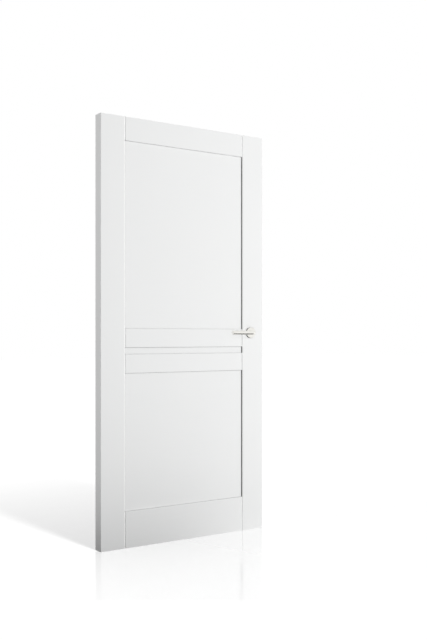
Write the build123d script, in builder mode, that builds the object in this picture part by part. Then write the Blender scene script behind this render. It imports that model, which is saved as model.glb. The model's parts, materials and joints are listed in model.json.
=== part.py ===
from build123d import *
import os
from math import cos, radians, sin, sqrt, tan

os.makedirs("parts", exist_ok=True)

# Interior door leaf, in millimetres. X runs from the hinge edge to the lock edge,
# Y from the front face (negative) to the back face (positive), and Z up from the foot.

# The leaf and its timber members
leaf_width = 915
leaf_height = 1981
leaf_thickness = 54
stile_width = 125
top_rail_height = 109.5
mid_rail_height = 87
strip_height = 31
lower_panel_height = 634.5
bottom_rail_height = 169
panel_thickness = 38
groove_depth = 12
panel_gap = 1.5
tenon_gap = 0.5
edge_round = 1.5
rail_arris = 0.8
panel_arris = 1.5

# The V joint between a stile and the end of a rail
joint_bevel = 3.5

# The dowels in every joint
dowel_diameter = 10
dowel_length = 80
dowel_glue_gap = 0.1
dowel_end_gap = 0.8
top_rail_dowels_up = [32, 78]
mid_rail_dowels_up = [21.5, 45.5]
bottom_rail_dowels_up = [32, 82, 132]

# The lever set: round bar levers on round roses
backset = 75
lever_height = 991
bar_diameter = 20
bar_reach = 135
bar_stand_off = 37
bar_bend = 18
bar_end_round = 3
spindle_size = 8
spindle_length = 100
spindle_gap = 0.1
socket_end_gap = 1
rose_diameter = 54
rose_height = 9
rose_wall = 1.2
rose_round = 2
rose_hole_gap = 0.4
base_gap = 0.3
base_thickness = 3
journal_diameter = 16
running_gap = 0.06
seat_gap = 0.1
bush_wall = 2.5
bush_lead = 0.2
bush_rise = 2.2
plate_diameter = 27
plate_thickness = 1.2
plate_cover_gap = 0.6
plate_flats = 14.4
plate_tab_width = 5
plate_tab_depth = 1.2
spring_wire = 1
spring_turns = 1.5
spring_gap = 0.2
spring_clear = 0.4
grub_diameter = 5
grub_hex = 2.5
grub_hex_depth = 2.2
grub_inset = 0.6
grub_stand_off = 14
rose_bolt_diameter = 4
rose_bolt_spacing = 38
rose_bolt_head = 7.2
rose_bolt_head_height = 2.2
rose_bolt_cross = 1.2
rose_bolt_cross_depth = 1.2
post_diameter = 7.6
post_length = 10
post_gap = 0.2

# The tubular latch in the lock stile
lever_swing = 55
bolt_travel = 9
case_diameter = 25
case_wall = 1.2
case_back = 21
case_bore_gap = 0.5
spindle_bore = 18
hub_diameter = 14
hub_gap = 0.1
hub_end_gap = 0.3
arm_width = 3.2
arm_reach = 12.3
arm_thickness = 3.6
arm_slot_gap = 0.5
tail_plate_gap = 0.6
tail_plate_thickness = 1.5
tail_pin_diameter = 2.4
tail_pin_gap = 0.2
tail_end = 3
fork_gap = 0.3
tail_bore_gap = 0.3
bridge_thickness = 3
bridge_gap = 0.3
reach_gap = 1.5
bulkhead_thickness = 4
rod_diameter = 4
rod_gap = 0.3
rod_grip = 8
rod_fit = 0.05
bolt_width = 12
bolt_depth = 16
bolt_gap = 0.2
bolt_nose_flat = 2.5
bolt_nose_round = 0.6
bolt_spring_diameter = 8
bolt_spring_wire = 0.9
bolt_spring_turns = 5
bolt_spring_room = 18
collar_length = 6
rivet_diameter = 2
rivet_sink = 0.1
rivet_inset = 16
rivet_fit = 0.05
faceplate_width = 25
faceplate_height = 57
faceplate_thickness = 3
faceplate_corner = 6
screw_spacing = 42
screw_diameter = 3.5
screw_head = 7
screw_length = 25
screw_gap = 0.1
screw_sink = 0.2
screw_cross = 1.1
screw_cross_depth = 1.3
cross_reach = 0.6

# Levels and places worked out from the sizes above
front_face = -leaf_thickness / 2
lock_joint = leaf_width - stile_width
rail_length = leaf_width - 2 * stile_width
lower_mid_rail_low = bottom_rail_height + lower_panel_height
strip_low = lower_mid_rail_low + mid_rail_height
upper_mid_rail_low = strip_low + strip_height
upper_panel_low = upper_mid_rail_low + mid_rail_height
top_rail_low = leaf_height - top_rail_height
spindle_x = leaf_width - backset

sides = (-1, 1)
lower_mid_dowels = [lower_mid_rail_low + up for up in mid_rail_dowels_up]
upper_mid_dowels = [upper_mid_rail_low + up for up in mid_rail_dowels_up]
top_dowels = [top_rail_low + up for up in top_rail_dowels_up]
all_dowels = bottom_rail_dowels_up + lower_mid_dowels + upper_mid_dowels + top_dowels


def save(piece, name):
    """Label a finished piece and write it under its own name."""
    piece.part.label = name
    export_step(piece.part, f"parts/{name}.step")


# Stiles: full height, grooved along the inner edge for the panels and the rails' tenons.
# The bevel of the V joint runs along the inner edge, but the arris stays square
# where the two mid rails meet it.
bevelled_runs = [
    (0, lower_mid_rail_low),
    (strip_low, upper_mid_rail_low),
    (upper_panel_low, leaf_height),
]
dowel_hole_depth = dowel_length / 2 + dowel_end_gap
dowel_hole = dowel_diameter / 2 + dowel_glue_gap


def stile_section(joint_x, outward):
    """The stile's plan section between its joint line and the leaf's edge."""
    width_side = Align.MIN if outward > 0 else Align.MAX
    with BuildSketch() as section:
        with Locations((joint_x, 0)):
            Rectangle(stile_width, leaf_thickness, align=(width_side, Align.CENTER))
        outer = section.vertices().sort_by(Axis.X, reverse=outward > 0)[:2]
        fillet(outer, edge_round)
        with Locations((joint_x, 0)):
            Rectangle(
                groove_depth,
                panel_thickness,
                align=(width_side, Align.CENTER),
                mode=Mode.SUBTRACT,
            )
    return section.sketch


def cut_stile_joints(joint_x, outward):
    """Cut the bevels along the inner edge and the dowel holes into the current stile."""
    for low, high in bevelled_runs:
        with BuildSketch(Plane.XY.offset(low)) as bevels:
            with Locations(*[(joint_x, side * leaf_thickness / 2) for side in sides]):
                Rectangle(joint_bevel * sqrt(2), joint_bevel * sqrt(2), rotation=45)
        extrude(bevels.sketch, amount=high - low, mode=Mode.SUBTRACT)
    with BuildSketch(Plane.YZ.offset(joint_x)) as holes:
        with Locations(*[(0, height) for height in all_dowels]):
            Circle(dowel_hole)
    extrude(holes.sketch, amount=outward * dowel_hole_depth, mode=Mode.SUBTRACT)


with BuildPart() as hinge_stile:
    add(stile_section(stile_width, -1))
    extrude(amount=leaf_height)
    cut_stile_joints(stile_width, -1)
save(hinge_stile, "hinge_stile")

# The latch sits in a bore from the lock edge, under a faceplate let in flush.
latch_axis = Plane.YZ.offset(leaf_width)
case_front = leaf_width - faceplate_thickness
case_rear = spindle_x - case_back
bolt_levels = [lever_height + side * rose_bolt_spacing / 2 for side in sides]
screw_levels = [lever_height + side * screw_spacing / 2 for side in sides]
pilot_hole = screw_diameter / 2 + screw_gap

with BuildPart() as lock_stile:
    add(stile_section(lock_joint, 1))
    extrude(amount=leaf_height)
    cut_stile_joints(lock_joint, 1)
    with BuildSketch(latch_axis):
        with Locations((0, lever_height)):
            RectangleRounded(faceplate_width, faceplate_height, faceplate_corner)
    extrude(amount=-faceplate_thickness, mode=Mode.SUBTRACT)
    with BuildSketch(latch_axis):
        with Locations((0, lever_height)):
            Circle(case_diameter / 2 + case_bore_gap)
    extrude(amount=case_rear - case_bore_gap - leaf_width, mode=Mode.SUBTRACT)
    with BuildSketch(latch_axis):
        with Locations(*[(0, height) for height in screw_levels]):
            Circle(pilot_hole)
    extrude(amount=-screw_length - screw_sink - screw_gap, mode=Mode.SUBTRACT)
    with BuildSketch(Plane.XZ):
        with Locations((spindle_x, lever_height)):
            Circle(spindle_bore / 2)
        with Locations(*[(spindle_x, height) for height in bolt_levels]):
            Circle(post_diameter / 2 + post_gap)
    extrude(amount=leaf_thickness, both=True, mode=Mode.SUBTRACT)
save(lock_stile, "lock_stile")


# Rails: butted between the stiles, with a bevel at each end for the V joint, a groove
# for each panel that meets them, and a stub tenon at each end in the stile's groove.
def make_rail(low, height, panel_below, panel_above, dowels):
    """Build one rail from its lowest level, its height and the panels that meet it."""
    high = low + height
    groove_levels = []
    if panel_below:
        groove_levels.append((low, Align.MIN))
    if panel_above:
        groove_levels.append((high, Align.MAX))
    tenon_low = low + (groove_depth if panel_below else 0)
    tenon_high = high - (groove_depth if panel_above else 0)
    with BuildPart() as rail:
        with BuildSketch(Plane.YZ.offset(stile_width)) as section:
            with Locations((0, low)):
                Rectangle(leaf_thickness, height, align=(Align.CENTER, Align.MIN))
            levels = [level for level, _ in groove_levels]
            softened = [
                corner
                for corner in section.vertices()
                if any(abs(corner.Y - level) < rail_arris for level in levels)
            ]
            chamfer(softened, rail_arris)
            for level, side in groove_levels:
                with Locations((0, level)):
                    Rectangle(
                        panel_thickness,
                        groove_depth,
                        align=(Align.CENTER, side),
                        mode=Mode.SUBTRACT,
                    )
        extrude(amount=rail_length)
        with BuildSketch(Plane.XY.offset(low)):
            joints = (stile_width, lock_joint)
            corners = [(x, side * leaf_thickness / 2) for x in joints for side in sides]
            with Locations(*corners):
                Rectangle(joint_bevel * sqrt(2), joint_bevel * sqrt(2), rotation=45)
        extrude(amount=height, mode=Mode.SUBTRACT)
        with BuildSketch(Plane.XY.offset(tenon_low)):
            with Locations((leaf_width / 2, 0)):
                Rectangle(rail_length + 2 * (groove_depth - tenon_gap), panel_thickness)
        extrude(amount=tenon_high - tenon_low)
        for joint_x, inward in ((stile_width, 1), (lock_joint, -1)):
            with BuildSketch(Plane.YZ.offset(joint_x - inward * groove_depth)):
                with Locations(*[(0, level) for level in dowels]):
                    Circle(dowel_hole)
            extrude(amount=inward * (dowel_hole_depth + groove_depth), mode=Mode.SUBTRACT)
    return rail


def make_dowels(dowels):
    """Build the dowels of one rail, half in the rail and half in the stile at each end."""
    with BuildPart() as pegs:
        for joint_x in (stile_width, lock_joint):
            with BuildSketch(Plane.YZ.offset(joint_x - dowel_length / 2)):
                with Locations(*[(0, level) for level in dowels]):
                    Circle(dowel_diameter / 2)
            extrude(amount=dowel_length)
    return pegs


rails = [
    ("bottom_rail", 0, bottom_rail_height, False, True, bottom_rail_dowels_up),
    ("lower_mid_rail", lower_mid_rail_low, mid_rail_height, True, True, lower_mid_dowels),
    ("upper_mid_rail", upper_mid_rail_low, mid_rail_height, True, True, upper_mid_dowels),
    ("top_rail", top_rail_low, top_rail_height, True, False, top_dowels),
]
for rail_name, low, height, panel_below, panel_above, dowels in rails:
    save(make_rail(low, height, panel_below, panel_above, dowels), rail_name)
    save(make_dowels(dowels), f"{rail_name}_dowels")

# Panels: flat boards held loose in the grooves on all four sides, recessed on both faces.
panels = [
    ("lower_panel", bottom_rail_height, lower_mid_rail_low),
    ("centre_strip", strip_low, upper_mid_rail_low),
    ("upper_panel", upper_panel_low, top_rail_low),
]
panel_lap = groove_depth - panel_gap
for panel_name, low, high in panels:
    with BuildPart() as panel:
        with BuildSketch(Plane.XY.offset(low - panel_lap)):
            with Locations((leaf_width / 2, 0)):
                Rectangle(rail_length + 2 * panel_lap, panel_thickness)
        extrude(amount=high - low + 2 * panel_lap)
        chamfer(panel.edges().filter_by(Axis.Z), panel_arris)
    save(panel, panel_name)

# The front lever set is turned about the spindle's axis. In this plane the local x is
# the radius and the local y is the depth into the leaf, so outward is negative.
turning = Plane(origin=(spindle_x, front_face, lever_height), x_dir=(1, 0, 0), z_dir=(0, 0, 1))
spindle_axis = Axis((spindle_x, front_face, lever_height), (0, 1, 0))
rose_inside = -rose_height + rose_wall
neck_step = rose_inside + plate_cover_gap / 2
plate_outer = rose_inside + plate_cover_gap
plate_inner = plate_outer + plate_thickness
bush_inner_radius = journal_diameter / 2 + running_gap
bush_outer_radius = journal_diameter / 2 + bush_wall
base_bore = bush_outer_radius + seat_gap
bar_radius = bar_diameter / 2


def facing(depth):
    """The plane across the spindle's axis at a depth from the leaf's front face."""
    origin = (spindle_x, front_face + depth, lever_height)
    return Plane(origin=origin, x_dir=(1, 0, 0), z_dir=(0, -1, 0))


# Lever: one round bar, bent from the neck into the grip, with a turned journal, a square
# socket for the spindle, two flats for the spring plate and a tapped hole below.
with BuildPart() as front_lever:
    with BuildLine(Plane.XY.offset(lever_height)) as lever_run:
        FilletPolyline(
            (spindle_x, front_face + neck_step),
            (spindle_x, front_face - bar_stand_off),
            (spindle_x - bar_reach, front_face - bar_stand_off),
            radius=bar_bend,
        )
    with BuildSketch(facing(neck_step)):
        Circle(bar_radius)
    sweep(path=lever_run.line)
    grip_end = front_lever.faces().sort_by(Axis.X)[0]
    fillet(grip_end.edges(), bar_end_round)
    with BuildSketch(facing(-bush_lead)):
        Circle(journal_diameter / 2)
    extrude(amount=-neck_step - bush_lead)
    with BuildSketch(facing(plate_inner + seat_gap)):
        Circle(journal_diameter)
        Rectangle(plate_flats, 2 * journal_diameter, mode=Mode.SUBTRACT)
    extrude(amount=plate_inner + seat_gap - neck_step, mode=Mode.SUBTRACT)
    with BuildSketch(facing(0)):
        Rectangle(spindle_size + 2 * spindle_gap, spindle_size + 2 * spindle_gap)
    extrude(amount=(spindle_length - leaf_thickness) / 2 + socket_end_gap, mode=Mode.SUBTRACT)
    with BuildSketch(Plane.XY.offset(lever_height - bar_diameter)):
        with Locations((spindle_x, front_face - grub_stand_off)):
            Circle(grub_diameter / 2 + running_gap)
    extrude(amount=bar_diameter, mode=Mode.SUBTRACT)
save(front_lever, "front_lever")

# Rose cover: a pressed cup over the base, with a hole that the neck turns in.
with BuildPart() as front_rose_cover:
    with BuildSketch(turning) as cup:
        with BuildLine():
            Polyline(
                (rose_diameter / 2, 0),
                (rose_diameter / 2, -rose_height),
                (bar_radius + rose_hole_gap, -rose_height),
                (bar_radius + rose_hole_gap, rose_inside),
                (rose_diameter / 2 - rose_wall, rose_inside),
                (rose_diameter / 2 - rose_wall, 0),
                close=True,
            )
        make_face()
        rim = cup.vertices().group_by(Axis.Y)[0].sort_by(Axis.X)[-1]
        fillet(rim, rose_round)
    revolve(axis=spindle_axis)
save(front_rose_cover, "front_rose_cover")

# Rose base: the plate behind the cover, with two posts let into the leaf.
with BuildPart() as front_rose_base:
    with BuildSketch(facing(0)):
        Circle(rose_diameter / 2 - rose_wall - base_gap)
    extrude(amount=base_thickness)
    with BuildSketch(facing(0)):
        with Locations(*[(0, side * rose_bolt_spacing / 2) for side in sides]):
            Circle(post_diameter / 2)
    extrude(amount=-post_length)
    with BuildSketch(facing(base_thickness)):
        Circle(base_bore)
        with Locations(*[(0, side * rose_bolt_spacing / 2) for side in sides]):
            Circle(rose_bolt_diameter / 2 + seat_gap)
    extrude(amount=leaf_thickness, both=True, mode=Mode.SUBTRACT)
save(front_rose_base, "front_rose_base")

# Bush: a plain nylon ring between the base and the lever's journal.
with BuildPart() as front_lever_bush:
    with BuildSketch(facing(-bush_lead)):
        Circle(bush_outer_radius)
        Circle(bush_inner_radius, mode=Mode.SUBTRACT)
    extrude(amount=base_thickness + bush_rise - bush_lead)
save(front_lever_bush, "front_lever_bush")

# Spring plate: keyed to the journal's flats, with a tab that takes the spring's end.
with BuildPart() as front_spring_plate:
    with BuildSketch(facing(plate_inner)):
        Circle(plate_diameter / 2)
        with BuildSketch(mode=Mode.PRIVATE) as keyed_hole:
            Circle(journal_diameter / 2 + seat_gap)
            Rectangle(plate_flats + 2 * seat_gap, 2 * journal_diameter, mode=Mode.INTERSECT)
        add(keyed_hole.sketch, mode=Mode.SUBTRACT)
    extrude(amount=plate_thickness)
    with BuildSketch(facing(plate_inner)):
        with Locations((-plate_diameter / 2, 0)):
            Rectangle(plate_thickness, plate_tab_width, align=(Align.MIN, Align.CENTER))
    extrude(amount=-plate_tab_depth)
save(front_spring_plate, "front_spring_plate")

# Return spring: a short coil of square wire round the bush, between the base and the plate.
spring_radius = bush_outer_radius + spring_clear + spring_wire / 2
spring_start = -base_thickness - spring_gap - spring_wire / 2
spring_length = spring_start - plate_inner - spring_gap - spring_wire / 2
with BuildPart() as front_return_spring:
    with BuildLine() as coil:
        Helix(
            pitch=spring_length / spring_turns,
            height=spring_length,
            radius=spring_radius,
            center=facing(spring_start).origin,
            direction=(0, -1, 0),
        )
    with BuildSketch(Plane(origin=coil.line @ 0, z_dir=coil.line % 0)):
        Rectangle(spring_wire, spring_wire)
    sweep(path=coil.line)
save(front_return_spring, "front_return_spring")

# Grub screw: clamps the spindle from below, with a hexagon socket in its outer end.
grub_low = lever_height - bar_radius + grub_inset
grub_high = lever_height - spindle_size / 2
with BuildPart() as front_grub_screw:
    with BuildSketch(Plane.XY.offset(grub_low)):
        with Locations((spindle_x, front_face - grub_stand_off)):
            Circle(grub_diameter / 2)
    extrude(amount=grub_high - grub_low)
    with BuildSketch(Plane.XY.offset(grub_low)):
        with Locations((spindle_x, front_face - grub_stand_off)):
            RegularPolygon(grub_hex / 2, 6, major_radius=False)
    extrude(amount=grub_hex_depth, mode=Mode.SUBTRACT)
save(front_grub_screw, "front_grub_screw")

# The back of the leaf has the same set, mirrored through the leaf's middle plane.
front_set = [
    (front_lever, "back_lever"),
    (front_rose_cover, "back_rose_cover"),
    (front_rose_base, "back_rose_base"),
    (front_lever_bush, "back_lever_bush"),
    (front_spring_plate, "back_spring_plate"),
    (front_return_spring, "back_return_spring"),
    (front_grub_screw, "back_grub_screw"),
]
for front_piece, back_name in front_set:
    with BuildPart() as back_piece:
        mirror(front_piece.part, about=Plane.XZ)
    save(back_piece, back_name)

# Spindle: one square bar through the leaf and the latch hub, into both levers.
with BuildPart() as spindle:
    with BuildSketch(Plane.XZ):
        with Locations((spindle_x, lever_height)):
            Rectangle(spindle_size, spindle_size)
    extrude(amount=spindle_length / 2, both=True)
save(spindle, "spindle")

# Rose bolts: two screws from the back base through the leaf into the front base.
bolt_seat = leaf_thickness / 2 + base_thickness
with BuildPart() as rose_bolts:
    for height in bolt_levels:
        with BuildSketch(Plane.XZ.offset(-bolt_seat)):
            with Locations((spindle_x, height)):
                Circle(rose_bolt_diameter / 2)
        extrude(amount=2 * bolt_seat)
        with BuildSketch(Plane.XZ.offset(-bolt_seat)):
            with Locations((spindle_x, height)):
                Circle(rose_bolt_head / 2)
        extrude(amount=-rose_bolt_head_height)
        with BuildSketch(Plane.XZ.offset(-bolt_seat - rose_bolt_head_height)):
            with Locations((spindle_x, height)):
                Rectangle(rose_bolt_head * cross_reach, rose_bolt_cross)
                Rectangle(rose_bolt_cross, rose_bolt_head * cross_reach)
        extrude(amount=rose_bolt_cross_depth, mode=Mode.SUBTRACT)
save(rose_bolts, "rose_bolts")

# Latch mechanism. The hub has two arms for either hand. At rest both lean towards the
# lock edge by half the lever's swing, and the upper one drives the tail's pins back.
lean = radians(lever_swing / 2)
pin_height = bolt_travel / (2 * tan(lean))
pin_back = (arm_width / 2 + tail_pin_diameter / 2 + tail_pin_gap) / cos(lean)
pin_x = spindle_x + pin_height * tan(lean) - pin_back
plate_near = arm_thickness / 2 + tail_plate_gap
plate_far = plate_near + tail_plate_thickness
case_radius = case_diameter / 2
case_inside = case_radius - case_wall
tail_half_height = sqrt(case_inside**2 - plate_far**2) - tail_bore_gap
bridge_rear = spindle_x + arm_reach + bolt_travel + reach_gap
bulkhead_rear = bridge_rear + bridge_thickness + bridge_gap
bulkhead_front = bulkhead_rear + bulkhead_thickness
bolt_rear = bulkhead_front + bolt_spring_room
bolt_nose = leaf_width + bolt_travel

# Latch case: a tube in two half shells, open for the hub and its arms, with a bulkhead
# for the spring and a collar that guides the bolt.
arm_slot_half = arm_reach * sin(lean) + arm_width / 2 + arm_slot_gap
rear_rivet = spindle_x - rivet_inset
bulkhead_middle = (bulkhead_rear + bulkhead_front) / 2
bulkhead_rivet_up = (case_inside + rod_diameter / 2) / 2
rivet_places = [
    (rear_rivet, lever_height),
    (bulkhead_middle, lever_height - bulkhead_rivet_up),
    (bulkhead_middle, lever_height + bulkhead_rivet_up),
]
with BuildPart() as whole_case:
    with BuildSketch(Plane.YZ.offset(case_rear)):
        with Locations((0, lever_height)):
            Circle(case_radius)
            Circle(case_inside, mode=Mode.SUBTRACT)
    extrude(amount=case_front - case_rear)
    with BuildSketch(Plane.YZ.offset(bulkhead_rear)):
        with Locations((0, lever_height)):
            Circle(case_inside)
            Circle(rod_diameter / 2 + rod_gap, mode=Mode.SUBTRACT)
    extrude(amount=bulkhead_thickness)
    with BuildSketch(Plane.YZ.offset(case_front - collar_length)):
        with Locations((0, lever_height)):
            Circle(case_inside)
            Rectangle(bolt_width + 2 * bolt_gap, bolt_depth + 2 * bolt_gap, mode=Mode.SUBTRACT)
    extrude(amount=collar_length)
    with BuildSketch(Plane.XZ):
        with Locations((spindle_x, lever_height)):
            Circle(hub_diameter / 2 + hub_gap)
        with Locations(*rivet_places):
            Circle(rivet_diameter / 2 + rivet_fit)
    extrude(amount=case_diameter, both=True, mode=Mode.SUBTRACT)
    with BuildSketch(Plane.XY.offset(lever_height - case_diameter)):
        with Locations((spindle_x, 0)):
            Rectangle(2 * arm_slot_half, arm_thickness + 2 * arm_slot_gap)
    extrude(amount=2 * case_diameter, mode=Mode.SUBTRACT)

with BuildPart() as latch_case:
    add(whole_case.part)
    split(bisect_by=Plane.XZ, keep=Keep.TOP)
save(latch_case, "latch_case")

with BuildPart() as latch_cover:
    add(whole_case.part)
    split(bisect_by=Plane.XZ, keep=Keep.BOTTOM)
save(latch_cover, "latch_cover")

# Rivets: three pins that hold the two half shells together, flush with the tube.
with BuildPart() as latch_rivets:
    for x, height in rivet_places:
        grip = sqrt(case_radius**2 - (height - lever_height) ** 2) - rivet_sink
        with BuildSketch(Plane.XZ):
            with Locations((x, height)):
                Circle(rivet_diameter / 2)
        extrude(amount=grip, both=True)
save(latch_rivets, "latch_rivets")

# Hub: a turned barrel with a square hole and two arms.
arm_run = arm_reach - arm_width / 2
with BuildPart() as latch_hub:
    with BuildSketch(Plane.XZ):
        with Locations((spindle_x, lever_height)):
            Circle(hub_diameter / 2)
    extrude(amount=case_radius - hub_end_gap, both=True)
    with BuildSketch(Plane.XZ):
        for side in sides:
            with Locations((spindle_x, lever_height)):
                with PolarLocations(arm_run / 2, 1, side * (90 - lever_swing / 2)):
                    SlotCenterToCenter(arm_run, arm_width)
    extrude(amount=arm_thickness / 2, both=True)
    with BuildSketch(Plane.XZ):
        with Locations((spindle_x, lever_height)):
            Rectangle(spindle_size + 2 * spindle_gap, spindle_size + 2 * spindle_gap)
    extrude(amount=case_diameter, both=True, mode=Mode.SUBTRACT)
save(latch_hub, "latch_hub")

# Tail: a fork of two plates that straddle the hub's arms, with a pin above and below,
# a bridge in front of the hub and a rod through the bulkhead into the bolt.
tail_rear = pin_x - tail_end
bridge_front = bridge_rear + bridge_thickness
fork_end = spindle_x + hub_diameter / 2 + bolt_travel + fork_gap
pin_levels = [lever_height + side * pin_height for side in sides]
with BuildPart() as latch_tail:
    with BuildSketch(Plane.XZ) as fork:
        with Locations((tail_rear, lever_height)):
            Rectangle(
                bridge_front - tail_rear,
                2 * tail_half_height,
                align=(Align.MIN, Align.CENTER),
            )
        with Locations((tail_rear, lever_height)):
            Rectangle(
                fork_end - tail_rear,
                hub_diameter + 2 * fork_gap,
                align=(Align.MIN, Align.CENTER),
                mode=Mode.SUBTRACT,
            )
    extrude(amount=plate_far, both=True)
    with BuildSketch(Plane.XZ):
        with Locations((tail_rear, lever_height)):
            Rectangle(
                bridge_rear - tail_rear,
                case_diameter,
                align=(Align.MIN, Align.CENTER),
            )
    extrude(amount=plate_near, both=True, mode=Mode.SUBTRACT)
    with BuildSketch(Plane.XZ):
        with Locations(*[(pin_x, height) for height in pin_levels]):
            Circle(tail_pin_diameter / 2)
    extrude(amount=plate_far, both=True)
    with BuildSketch(Plane.YZ.offset(bridge_front)):
        with Locations((0, lever_height)):
            Circle(rod_diameter / 2)
    extrude(amount=bolt_rear + rod_grip - bridge_front)
save(latch_tail, "latch_tail")

# Bolt: a square bar with a bevelled nose that stands out of the lock edge.
nose_flat = -bolt_width / 2 + bolt_nose_flat
with BuildPart() as latch_bolt:
    with BuildSketch(Plane.XY.offset(lever_height - bolt_depth / 2)):
        with BuildLine():
            Polyline(
                (bolt_rear, -bolt_width / 2),
                (bolt_nose, -bolt_width / 2),
                (bolt_nose, nose_flat),
                (leaf_width + bolt_gap, bolt_width / 2),
                (bolt_rear, bolt_width / 2),
                close=True,
            )
        make_face()
    extrude(amount=bolt_depth)
    nose_edges = latch_bolt.edges().filter_by(Axis.Z).sort_by(Axis.X)[-2:]
    fillet(nose_edges, bolt_nose_round)
    with BuildSketch(Plane.YZ.offset(bolt_rear)):
        with Locations((0, lever_height)):
            Circle(rod_diameter / 2 + rod_fit)
    extrude(amount=rod_grip + rod_fit, mode=Mode.SUBTRACT)
save(latch_bolt, "latch_bolt")

# Bolt spring: a coil of square wire round the rod, between the bulkhead and the bolt.
coil_length = bolt_spring_room - bolt_spring_wire - 2 * spring_gap
coil_start = bulkhead_front + spring_gap + bolt_spring_wire / 2
with BuildPart() as bolt_spring:
    with BuildLine() as bolt_coil:
        Helix(
            pitch=coil_length / bolt_spring_turns,
            height=coil_length,
            radius=(bolt_spring_diameter - bolt_spring_wire) / 2,
            center=(coil_start, 0, lever_height),
            direction=(1, 0, 0),
        )
    with BuildSketch(Plane(origin=bolt_coil.line @ 0, z_dir=bolt_coil.line % 0)):
        Rectangle(bolt_spring_wire, bolt_spring_wire)
    sweep(path=bolt_coil.line)
save(bolt_spring, "bolt_spring")

# Faceplate: let in flush, with a window for the bolt and two countersunk holes.
sink_radius = screw_head / 2 + screw_sink + screw_gap
with BuildPart() as latch_faceplate:
    with BuildSketch(Plane.YZ.offset(case_front)):
        with Locations((0, lever_height)):
            RectangleRounded(faceplate_width, faceplate_height, faceplate_corner)
            Rectangle(bolt_width + 2 * bolt_gap, bolt_depth + 2 * bolt_gap, mode=Mode.SUBTRACT)
    extrude(amount=faceplate_thickness)
    screw_mouths = [Plane(origin=(leaf_width, 0, height), z_dir=(1, 0, 0)) for height in screw_levels]
    with Locations(*screw_mouths):
        CounterSinkHole(radius=pilot_hole, counter_sink_radius=sink_radius, counter_sink_angle=90)
save(latch_faceplate, "latch_faceplate")

# Faceplate screws: two countersunk wood screws with a cross in the head.
shank = screw_diameter / 2
head_depth = (screw_head - screw_diameter) / 2
with BuildPart() as faceplate_screws:
    for height in screw_levels:
        origin = (leaf_width - screw_sink, 0, height)
        driving = Plane(origin=origin, x_dir=(-1, 0, 0), z_dir=(0, 0, 1))
        with BuildSketch(driving):
            with BuildLine():
                Polyline(
                    (0, 0),
                    (0, screw_head / 2),
                    (head_depth, shank),
                    (screw_length - screw_diameter, shank),
                    (screw_length, 0),
                    close=True,
                )
            make_face()
        revolve(axis=Axis(origin, (-1, 0, 0)))
        with BuildSketch(Plane(origin=origin, x_dir=(0, 1, 0), z_dir=(1, 0, 0))):
            Rectangle(screw_head * cross_reach, screw_cross)
            Rectangle(screw_cross, screw_head * cross_reach)
        extrude(amount=-screw_cross_depth, mode=Mode.SUBTRACT)
save(faceplate_screws, "faceplate_screws")
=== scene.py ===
import json
from math import pi, radians, sin

import bmesh
import bpy
from mathutils import Euler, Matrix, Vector


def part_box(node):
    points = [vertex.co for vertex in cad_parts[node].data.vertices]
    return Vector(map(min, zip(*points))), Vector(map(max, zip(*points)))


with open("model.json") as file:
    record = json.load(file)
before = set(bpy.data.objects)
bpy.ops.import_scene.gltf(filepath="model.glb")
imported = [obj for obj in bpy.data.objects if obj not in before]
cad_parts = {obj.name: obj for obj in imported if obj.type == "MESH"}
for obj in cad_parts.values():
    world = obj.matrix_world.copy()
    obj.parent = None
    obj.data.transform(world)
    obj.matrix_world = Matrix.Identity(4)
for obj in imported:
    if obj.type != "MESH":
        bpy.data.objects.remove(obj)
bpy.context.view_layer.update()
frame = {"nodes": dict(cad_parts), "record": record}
scene = bpy.context.scene


# Small helpers for building a tree of shader nodes


def feed(tree, socket, value):
    """Give an input its value: the output of another node, or a number, a vector or a colour."""
    if isinstance(value, bpy.types.NodeSocket):
        tree.links.new(value, socket)
    else:
        socket.default_value = value


def math_node(tree, operation, first, second=0.0):
    """The outcome of one calculation on two numbers or outputs."""
    node = tree.nodes.new("ShaderNodeMath")
    node.operation = operation
    feed(tree, node.inputs[0], first)
    feed(tree, node.inputs[1], second)
    return node.outputs["Value"]


def vector_node(tree, operation, first, second=(0.0, 0.0, 0.0)):
    """The outcome of one calculation on two vectors, which is a number or a vector."""
    node = tree.nodes.new("ShaderNodeVectorMath")
    node.operation = operation
    feed(tree, node.inputs[0], first)
    feed(tree, node.inputs[1], second)
    gives_number = operation in ("LENGTH", "DISTANCE", "DOT_PRODUCT")
    return node.outputs["Value" if gives_number else "Vector"]


def split(tree, vector):
    """The three outputs of a vector, by the names of the axes."""
    node = tree.nodes.new("ShaderNodeSeparateXYZ")
    feed(tree, node.inputs["Vector"], vector)
    return node.outputs


def map_range(tree, value, from_low, from_high, to_low=0.0, to_high=1.0, smooth=False):
    """Turn one range of a value into another, and hold it at the ends."""
    node = tree.nodes.new("ShaderNodeMapRange")
    if smooth:
        node.interpolation_type = "SMOOTHSTEP"
    feed(tree, node.inputs["Value"], value)
    feed(tree, node.inputs["From Min"], from_low)
    feed(tree, node.inputs["From Max"], from_high)
    feed(tree, node.inputs["To Min"], to_low)
    feed(tree, node.inputs["To Max"], to_high)
    return node.outputs["Result"]


def mix_colours(tree, factor, first, second):
    """A colour between two, by a mask."""
    node = tree.nodes.new("ShaderNodeMix")
    node.data_type = "RGBA"
    feed(tree, node.inputs["Factor"], factor)
    for socket, colour in (("A", first), ("B", second)):
        opaque = (*colour, 1.0) if isinstance(colour, tuple) else colour
        feed(tree, node.inputs[socket], opaque)
    return node.outputs["Result"]


def grey(level):
    """A grey of this level."""
    return (level, level, level)


def noise_node(tree, detail, scale):
    """A noise texture of the given depth of detail and scale."""
    node = tree.nodes.new("ShaderNodeTexNoise")
    node.inputs["Detail"].default_value = detail
    feed(tree, node.inputs["Scale"], scale)
    return node


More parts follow.
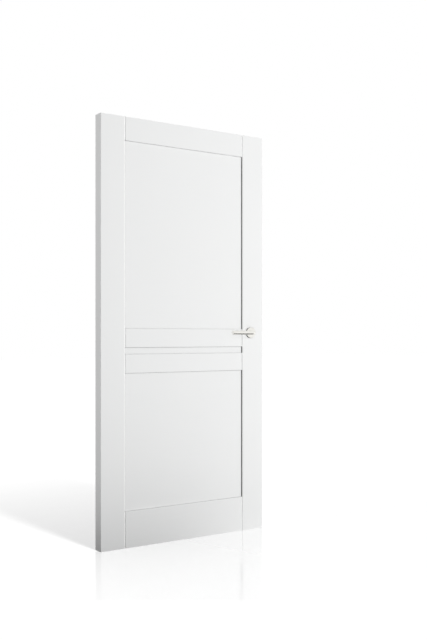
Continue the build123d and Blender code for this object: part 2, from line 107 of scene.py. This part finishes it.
def sharpen(tree, noise):
    """Spread a noise texture, whose values stay near their middle, from nothing to full."""
    lowest, highest = 0.3, 0.7
    return map_range(tree, noise.outputs["Fac"], lowest, highest)


# Shader groups, each built once and placed in the materials that use it


def new_group(name, inputs, output):
    """An empty shader group with these inputs and one output: its tree, its start and its end."""
    tree = bpy.data.node_groups.new(name, "ShaderNodeTree")
    for socket, kind, value in inputs:
        made = tree.interface.new_socket(socket, in_out="INPUT", socket_type=kind)
        made.default_value = value
    tree.interface.new_socket(output, in_out="OUTPUT", socket_type="NodeSocketFloat")
    start = tree.nodes.new("NodeGroupInput").outputs
    end = tree.nodes.new("NodeGroupOutput").inputs[output]
    return tree, start, end


def build_cloudiness():
    """Broad soft patches, as in any hand-sprayed or plated surface."""
    tree, start, end = new_group(
        "cloudiness",
        [("Vector", "NodeSocketVector", (0, 0, 0)), ("Scale", "NodeSocketFloat", 5.0)],
        "Mask",
    )
    noise = noise_node(tree, 2.0, start["Scale"])
    feed(tree, noise.inputs["Vector"], start["Vector"])
    feed(tree, end, sharpen(tree, noise))
    return tree


def build_streaks():
    """Fine lines along whichever direction has the smallest stretch."""
    tree, start, end = new_group(
        "streaks",
        [("Vector", "NodeSocketVector", (0, 0, 0)), ("Stretch", "NodeSocketVector", (1, 1, 1))],
        "Mask",
    )
    noise = noise_node(tree, 4.0, 1.0)
    feed(tree, noise.inputs["Vector"], vector_node(tree, "MULTIPLY", start["Vector"], start["Stretch"]))
    feed(tree, end, sharpen(tree, noise))
    return tree


def build_turned_rings():
    """Fine rings round an axis along Y, as a lathe or a polishing wheel leaves them."""
    tree, start, end = new_group(
        "turned_rings",
        [("Vector", "NodeSocketVector", (0, 0, 0)), ("Rings per metre", "NodeSocketFloat", 2000.0)],
        "Mask",
    )
    across_axis = vector_node(tree, "MULTIPLY", start["Vector"], (1.0, 0.0, 1.0))
    noise = noise_node(tree, 3.0, start["Rings per metre"])
    noise.noise_dimensions = "1D"
    feed(tree, noise.inputs["W"], vector_node(tree, "LENGTH", across_axis))
    feed(tree, end, sharpen(tree, noise))
    return tree


def build_skin():
    """The height of a fine pebbled skin: the orange peel of paint, or the grain of a casting."""
    tree, start, end = new_group(
        "skin",
        [
            ("Vector", "NodeSocketVector", (0, 0, 0)),
            ("Scale", "NodeSocketFloat", 300.0),
            ("Depth", "NodeSocketFloat", 0.00001),
        ],
        "Height",
    )
    noise = noise_node(tree, 1.5, start["Scale"])
    feed(tree, noise.inputs["Vector"], start["Vector"])
    feed(tree, end, math_node(tree, "MULTIPLY", noise.outputs["Fac"], start["Depth"]))
    return tree


def build_crease():
    """A narrow band just inside the outline of an upright rectangle, wherever it lies on Y.

    It is full at the two upright sides, and has a share of its own at the top and at the foot.
    """
    tree, start, end = new_group(
        "crease_shade",
        [
            ("Vector", "NodeSocketVector", (0, 0, 0)),
            ("Middle", "NodeSocketVector", (0, 0, 0)),
            ("Half size", "NodeSocketVector", (1, 0, 1)),
            ("Width", "NodeSocketFloat", 0.001),
            ("Top share", "NodeSocketFloat", 1.0),
            ("Foot share", "NodeSocketFloat", 1.0),
        ],
        "Mask",
    )
    wall_slack = 0.0003
    from_middle = vector_node(tree, "SUBTRACT", start["Vector"], start["Middle"])
    distance = vector_node(tree, "ABSOLUTE", from_middle)
    inside = split(tree, vector_node(tree, "SUBTRACT", start["Half size"], distance))
    bands = []
    for axis, other in (("X", "Z"), ("Z", "X")):
        band = map_range(tree, inside[axis], 0.0, start["Width"], 1.0, 0.0)
        at_wall = math_node(tree, "GREATER_THAN", inside[axis], -wall_slack)
        within = math_node(tree, "GREATER_THAN", inside[other], -wall_slack)
        band = math_node(tree, "MULTIPLY", band, at_wall)
        bands.append(math_node(tree, "MULTIPLY", band, within))
    upright_band, level_band = bands
    in_upper_half = math_node(tree, "GREATER_THAN", split(tree, from_middle)["Z"], 0.0)
    level_share = map_range(tree, in_upper_half, 0.0, 1.0, start["Foot share"], start["Top share"])
    level_band = math_node(tree, "MULTIPLY", level_band, level_share)
    feed(tree, end, math_node(tree, "MAXIMUM", upright_band, level_band))
    return tree


def build_upright_strip():
    """The upright strip between two places along X."""
    tree, start, end = new_group(
        "upright_strip",
        [
            ("Vector", "NodeSocketVector", (0, 0, 0)),
            ("From", "NodeSocketFloat", 0.0),
            ("To", "NodeSocketFloat", 1.0),
        ],
        "Mask",
    )
    place = split(tree, start["Vector"])
    past_start = math_node(tree, "GREATER_THAN", place["X"], start["From"])
    before_end = math_node(tree, "LESS_THAN", place["X"], start["To"])
    feed(tree, end, math_node(tree, "MULTIPLY", past_start, before_end))
    return tree


def build_near_middle():
    """Full up to a distance from the plane Y = 0, on either side, and nothing beyond a soft edge."""
    tree, start, end = new_group(
        "near_middle",
        [
            ("Vector", "NodeSocketVector", (0, 0, 0)),
            ("Distance", "NodeSocketFloat", 0.0),
            ("Edge", "NodeSocketFloat", 0.001),
        ],
        "Mask",
    )
    away = math_node(tree, "ABSOLUTE", split(tree, start["Vector"])["Y"])
    far_end = math_node(tree, "ADD", start["Distance"], start["Edge"])
    feed(tree, end, map_range(tree, away, start["Distance"], far_end, 1.0, 0.0))
    return tree


groups = {
    "cloudiness": build_cloudiness(),
    "streaks": build_streaks(),
    "turned_rings": build_turned_rings(),
    "skin": build_skin(),
    "crease_shade": build_crease(),
    "upright_strip": build_upright_strip(),
    "near_middle": build_near_middle(),
}


def place_group(tree, name, vector, **values):
    """Place a shader group in a material, with its own values, and give its output."""
    node = tree.nodes.new("ShaderNodeGroup")
    node.node_tree = groups[name]
    feed(tree, node.inputs["Vector"], vector)
    for socket, value in values.items():
        feed(tree, node.inputs[socket.replace("_", " ")], value)
    return node.outputs[0]


# The finishes of the leaf, its lever set and its latch

rings_per_metre = 2600.0


def make_finish(
    name,
    colour,
    shade,
    rough,
    metallic=0.0,
    cloud_scale=6.0,
    stretch=None,
    rings_at=None,
    line_depth=0.0,
    skin_scale=None,
    skin_depth=0.0,
    marks=(),
):
    """One finish: a colour with a shade of it in clouds and lines, its roughness and its relief.

    stretch gives straight lines, and rings_at gives rings round that point on a Y axis. Each mark
    is a shader group, the colour that it lays over the rest, and its values. rough is the least
    and the most roughness, and depths are in metres.
    """
    material = bpy.data.materials.new(name)
    material.use_nodes = True
    tree = material.node_tree
    shader = tree.nodes["Principled BSDF"]
    shader.inputs["Metallic"].default_value = metallic
    place = tree.nodes.new("ShaderNodeTexCoord").outputs["Object"]

    mask = place_group(tree, "cloudiness", place, Scale=cloud_scale)
    lines = None
    if rings_at is not None:
        centred = vector_node(tree, "SUBTRACT", place, rings_at)
        lines = place_group(tree, "turned_rings", centred, Rings_per_metre=rings_per_metre)
    elif stretch is not None:
        lines = place_group(tree, "streaks", place, Stretch=stretch)
    heights = []
    if lines is not None:
        mask = math_node(tree, "MULTIPLY", math_node(tree, "ADD", mask, lines), 0.5)
        heights.append(math_node(tree, "MULTIPLY", lines, line_depth))
    if skin_scale is not None:
        heights.append(place_group(tree, "skin", place, Scale=skin_scale, Depth=skin_depth))

    base = mix_colours(tree, mask, colour, shade)
    for group, mark_colour, values in marks:
        base = mix_colours(tree, place_group(tree, group, place, **values), base, mark_colour)
    feed(tree, shader.inputs["Base Color"], base)
    feed(tree, shader.inputs["Roughness"], map_range(tree, mask, 0.0, 1.0, *rough))
    if heights:
        height = heights[0]
        for more in heights[1:]:
            height = math_node(tree, "ADD", height, more)
        bump = tree.nodes.new("ShaderNodeBump")
        bump.inputs["Distance"].default_value = 1.0
        feed(tree, bump.inputs["Height"], height)
        feed(tree, shader.inputs["Normal"], bump.outputs["Normal"])
    return material


# The openings in the frame of stiles and rails, which the panels fill
rails = ("bottom_rail", "lower_mid_rail", "upper_mid_rail", "top_rail")
opening_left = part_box("hinge_stile")[1].x
opening_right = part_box("lock_stile")[0].x

# A narrow painted highlight, a strip of lighter colour, runs up the hinge stile along its bevelled
# inner edge
painted_highlight_width = 0.0063
painted_highlight_gap = 0.0002
painted_highlight_colour = (0.98, 0.98, 0.975)
painted_highlight = {"From": opening_left - painted_highlight_gap - painted_highlight_width, "To": opening_left - painted_highlight_gap}
# The marks laid over the paint: this painted highlight, and the painted shade lines round the panels
# below
painted_light_marks = [("upright_strip", painted_highlight_colour, painted_highlight)]

# A line of painted shade, in near-black colour, lies in the corner round each panel where shade falls,
# fainter on the rails than on the stiles
crease_shade_width = 0.0022
crease_shade_colour = (0.10, 0.10, 0.10)
crease_shade_foot_share = 0.3
crease_shade_top_shares = {"lower_mid_rail": 0.65, "upper_mid_rail": 0.65, "top_rail": 0.3}
for rail_below, rail_above in zip(rails, rails[1:]):
    opening_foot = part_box(rail_below)[1].z
    opening_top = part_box(rail_above)[0].z
    # Where this opening's painted shade line lies, and how strong it is at its top and foot
    crease_shade = {
        "Middle": ((opening_left + opening_right) / 2, 0.0, (opening_foot + opening_top) / 2),
        "Half_size": ((opening_right - opening_left) / 2, 0.0, (opening_top - opening_foot) / 2),
        "Width": crease_shade_width,
        "Top_share": crease_shade_top_shares[rail_above],
        "Foot_share": crease_shade_foot_share,
    }
    painted_light_marks.append(("crease_shade", crease_shade_colour, crease_shade))

# The paint's faint grain runs up the stiles and across the rails and panels
paint = {
    "colour": (0.875, 0.880, 0.878),
    "shade": (0.862, 0.868, 0.866),
    "rough": (0.32, 0.40),
    "cloud_scale": 4.0,
    "line_depth": 0.000012,
    "skin_scale": 420.0,
    "skin_depth": 0.000018,
    "marks": painted_light_marks,
}
paint_up = make_finish("white_paint_upright", stretch=(260.0, 260.0, 7.0), **paint)
paint_across = make_finish("white_paint_across", stretch=(7.0, 260.0, 260.0), **paint)

# The nickel is brushed along the bars and turned on the roses. A rose's foot, next to the leaf, gets
# painted shade: a near-black colour in place of the nickel's.
nickel = {
    "colour": (0.86, 0.85, 0.81),
    "shade": (0.80, 0.79, 0.75),
    "rough": (0.24, 0.34),
    "metallic": 1.0,
    "cloud_scale": 30.0,
    "line_depth": 0.000002,
}
rose_low, rose_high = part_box("front_rose_cover")
rose_centre = ((rose_low.x + rose_high.x) / 2, 0.0, (rose_low.z + rose_high.z) / 2)
leaf_face = -rose_high.y
foot_shade_height = 0.005
foot_shade_colour = (0.10, 0.095, 0.085)
# The painted shade at the rose's foot, up to this height off the leaf's face
rose_foot_shade = ("near_middle", foot_shade_colour, {"Distance": leaf_face + foot_shade_height})
turned_nickel = make_finish("satin_nickel_turned", rings_at=rose_centre, marks=[rose_foot_shade], **nickel)

finishes = {
    "dowel_wood": make_finish(
        "bare_beech",
        colour=(0.66, 0.47, 0.29),
        shade=(0.52, 0.34, 0.19),
        rough=(0.55, 0.7),
        cloud_scale=25.0,
        stretch=(30.0, 900.0, 900.0),
        line_depth=0.00005,
    ),
    "satin_nickel": make_finish("satin_nickel_bar", stretch=(25.0, 2600.0, 2600.0), **nickel),
    "zinc_casting": make_finish(
        "zinc_casting",
        colour=(0.50, 0.51, 0.52),
        shade=(0.38, 0.39, 0.40),
        rough=(0.4, 0.55),
        metallic=1.0,
        cloud_scale=80.0,
        skin_scale=1500.0,
        skin_depth=0.00003,
    ),
    "zinc_plated_steel": make_finish(
        "zinc_plated_steel",
        colour=(0.66, 0.68, 0.71),
        shade=(0.56, 0.58, 0.60),
        rough=(0.25, 0.38),
        metallic=1.0,
        cloud_scale=60.0,
    ),
    "spring_steel": make_finish(
        "drawn_spring_wire",
        colour=(0.36, 0.36, 0.37),
        shade=(0.26, 0.26, 0.27),
        rough=(0.3, 0.45),
        metallic=1.0,
        cloud_scale=300.0,
    ),
    "black_steel": make_finish(
        "black_oxide_steel",
        colour=(0.05, 0.05, 0.055),
        shade=(0.025, 0.025, 0.03),
        rough=(0.35, 0.5),
        metallic=1.0,
        cloud_scale=300.0,
    ),
    "nylon": make_finish(
        "natural_nylon",
        colour=(0.84, 0.83, 0.77),
        shade=(0.78, 0.77, 0.70),
        rough=(0.4, 0.5),
        cloud_scale=120.0,
        skin_scale=2500.0,
        skin_depth=0.000008,
    ),
}

uprights = ("hinge_stile", "lock_stile")
for part in frame["record"]["subparts"]:
    name = part["node"]
    if part["material_slot"] == "painted_wood":
        finish = paint_up if name in uprights else paint_across
    elif name.endswith("rose_cover"):
        finish = turned_nickel
    else:
        finish = finishes[part["material_slot"]]
    mesh = frame["nodes"][name].data
    mesh.materials.clear()
    mesh.materials.append(finish)


# The studio: where the camera stands and looks, its floor and its lamps

camera_place = (-1.804, -3.565, 0.975)
view_line = (0.5644, 0.8255, 0.0)
camera_lens = 49.2
camera_rise = 0.0248

leaf_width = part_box("lock_stile")[1].x
lamp_aim = (leaf_width / 2, 0.0, 1.0)
world_light = 0.30

# The floor adds a glow of its own to the light that falls on it. It throws less light back near
# the leaf's hinge corner, and the metal sees a dark patch in it, in front of the lever.
floor_half_side = 30.0
floor_glow = 0.64
floor_lit_share = 0.35
open_bounce = 0.47
corner_bounce = 0.0
corner_centre = (0.0, -0.1, 0.0)
corner_reach = (0.15, 1.0)
dark_patch_level = 0.02
dark_patch_centre = (1.3, -0.3, 0.0)
dark_patch_reach = (0.5, 1.3)

# It mirrors the leaf faintly, ever less along the view line towards the camera and to the left
polish_roughness = 0.12
polish_share = 0.70
polish_reach = (-0.78, 0.20)
polish_near_end = 0.06
polish_near_share = 0.7 * polish_share
polish_left_share = 0.2

# A row of narrow distant lights, one above the other, gives the soft shadow behind the leaf
shadow_lights = 8
shadow_azimuth = 3.6
shadow_lowest = 45.0
shadow_climb = 5.5
shadow_spread = 5.0
shadow_step = 0.0266


def outside_spot(tree, place, centre, reach):
    """Nothing within the first radius of a round spot, and full beyond the second."""
    return map_range(tree, vector_node(tree, "DISTANCE", place, centre), *reach, smooth=True)


def polish_mask(tree, place):
    """The share of the floor's look that is a mirror, which is nothing behind the leaf's face."""
    along = vector_node(tree, "DOT_PRODUCT", place, view_line)
    fade = tree.nodes.new("ShaderNodeValToRGB")
    fade.color_ramp.elements[1].color = (*grey(polish_share), 1.0)
    near_end = fade.color_ramp.elements.new(polish_near_end)
    near_end.color = (*grey(polish_near_share), 1.0)
    feed(tree, fade.inputs["Fac"], map_range(tree, along, *polish_reach))
    floor_place = split(tree, place)
    before_leaf = math_node(tree, "LESS_THAN", floor_place["Y"], 0.0)
    across = map_range(tree, floor_place["X"], -leaf_width / 2, leaf_width, polish_left_share, 1.0)
    share = math_node(tree, "MULTIPLY", fade.outputs["Color"], before_leaf)
    return math_node(tree, "MULTIPLY", share, across)


def make_floor_finish():
    """A floor that is white to the camera, holds the leaf's shadow and mirrors it faintly."""
    material = bpy.data.materials.new("studio_floor")
    material.use_nodes = True
    tree = material.node_tree
    place = tree.nodes.new("ShaderNodeTexCoord").outputs["Object"]
    path = tree.nodes.new("ShaderNodeLightPath").outputs
    camera_ray = path["Is Camera Ray"]
    mirrored = math_node(tree, "MAXIMUM", path["Is Glossy Ray"], path["Is Transmission Ray"])

    white = tree.nodes["Principled BSDF"]
    white.inputs["Roughness"].default_value = 1.0
    white.inputs["Specular IOR Level"].default_value = 0.0
    away_from_corner = outside_spot(tree, place, corner_centre, corner_reach)
    bounce = mix_colours(tree, away_from_corner, grey(corner_bounce), grey(open_bounce))
    lit = mix_colours(tree, camera_ray, bounce, grey(floor_lit_share))
    off_patch = outside_spot(tree, place, dark_patch_centre, dark_patch_reach)
    in_patch = math_node(tree, "MULTIPLY", math_node(tree, "SUBTRACT", 1.0, off_patch), mirrored)
    lit = mix_colours(tree, in_patch, lit, grey(dark_patch_level))
    feed(tree, white.inputs["Base Color"], lit)
    mirrored_off_patch = math_node(tree, "MULTIPLY", mirrored, off_patch)
    glow = math_node(tree, "MAXIMUM", camera_ray, mirrored_off_patch)
    white.inputs["Emission Color"].default_value = (1.0, 1.0, 1.0, 1.0)
    feed(tree, white.inputs["Emission Strength"], math_node(tree, "MULTIPLY", glow, floor_glow))

    polish = tree.nodes.new("ShaderNodeBsdfGlossy")
    polish.inputs["Color"].default_value = (1.0, 1.0, 1.0, 1.0)
    polish.inputs["Roughness"].default_value = polish_roughness
    both = tree.nodes.new("ShaderNodeMixShader")
    feed(tree, both.inputs["Fac"], math_node(tree, "MULTIPLY", polish_mask(tree, place), camera_ray))
    feed(tree, both.inputs[1], white.outputs["BSDF"])
    feed(tree, both.inputs[2], polish.outputs["BSDF"])
    feed(tree, tree.nodes["Material Output"].inputs["Surface"], both.outputs["Shader"])
    return material


def make_floor():
    """The level floor under the leaf, so wide that its ends lie far off."""
    shape = bmesh.new()
    bmesh.ops.create_grid(shape, x_segments=1, y_segments=1, size=floor_half_side)
    mesh = bpy.data.meshes.new("floor")
    shape.to_mesh(mesh)
    shape.free()
    mesh.materials.append(make_floor_finish())
    floor = bpy.data.objects.new("floor", mesh)
    scene.collection.objects.link(floor)
    return floor


def light_group(name, piece, state):
    """A group for a lamp to light or be blocked by: this piece alone, or everything but it."""
    group = bpy.data.collections.new(name)
    group.objects.link(piece)
    for member in group.collection_objects:
        member.light_linking.link_state = state
    return group


def make_lamp(name, place, size, power, past_lever=False):
    """A square soft lamp on all but the floor, turned towards the middle of the leaf."""
    data = bpy.data.lights.new(name, "AREA")
    data.size = size
    data.energy = power
    lamp = bpy.data.objects.new(name, data)
    lamp.location = place
    lamp.rotation_euler = (Vector(lamp_aim) - Vector(place)).to_track_quat("-Z", "Y").to_euler()
    lamp.visible_glossy = False
    lamp.light_linking.receiver_collection = all_but_floor
    if past_lever:
        lamp.light_linking.blocker_collection = all_but_lever
    scene.collection.objects.link(lamp)


def make_shadow_light(name, height):
    """A distant light on the floor alone, this many degrees high, which gives less the higher it is."""
    rise = sin(radians(height))
    share = shadow_step / rise ** 2
    data = bpy.data.lights.new(name, "SUN")
    data.angle = radians(shadow_spread)
    data.energy = share / floor_lit_share * pi / rise
    light = bpy.data.objects.new(name, data)
    light.rotation_euler = Euler((radians(90.0 - height), 0.0, radians(shadow_azimuth)))
    light.light_linking.receiver_collection = floor_alone
    scene.collection.objects.link(light)


def make_world():
    """White to the camera and in reflections, and a plain grey light on everything else."""
    world = bpy.data.worlds.new("studio")
    scene.world = world
    world.use_nodes = True
    tree = world.node_tree
    path = tree.nodes.new("ShaderNodeLightPath").outputs
    seen = math_node(tree, "MAXIMUM", path["Is Camera Ray"], path["Is Glossy Ray"])
    seen = math_node(tree, "MAXIMUM", seen, path["Is Transmission Ray"])
    colour = mix_colours(tree, seen, grey(world_light), (1.0, 1.0, 1.0))
    feed(tree, tree.nodes["Background"].inputs["Color"], colour)


def make_camera():
    """A level camera to the left of the leaf, at half its height."""
    data = bpy.data.cameras.new("camera")
    data.lens = camera_lens
    data.shift_y = camera_rise
    camera = bpy.data.objects.new("camera", data)
    camera.location = camera_place
    camera.rotation_euler = Vector(view_line).to_track_quat("-Z", "Y").to_euler()
    scene.collection.objects.link(camera)
    scene.camera = camera


floor = make_floor()
floor_alone = light_group("floor_alone", floor, "INCLUDE")
all_but_floor = light_group("all_but_floor", floor, "EXCLUDE")
all_but_lever = light_group("all_but_lever", frame["nodes"]["front_lever"], "EXCLUDE")
make_lamp("key_lamp", place=(3.2, -5.3, 1.3), size=2.0, power=213.0, past_lever=True)
make_lamp("front_lamp", place=(0.6, -5.0, 3.4), size=1.0, power=18.0)
make_lamp("rim_lamp", place=(-4.0, 1.5, 2.6), size=2.0, power=34.0)
make_lamp("back_lamp", place=(1.2, 5.5, 2.4), size=2.4, power=120.0)
for step in range(shadow_lights):
    make_shadow_light(f"floor_light_{step}", shadow_lowest + shadow_climb * step)
make_world()
make_camera()
scene.view_settings.view_transform = "Standard"
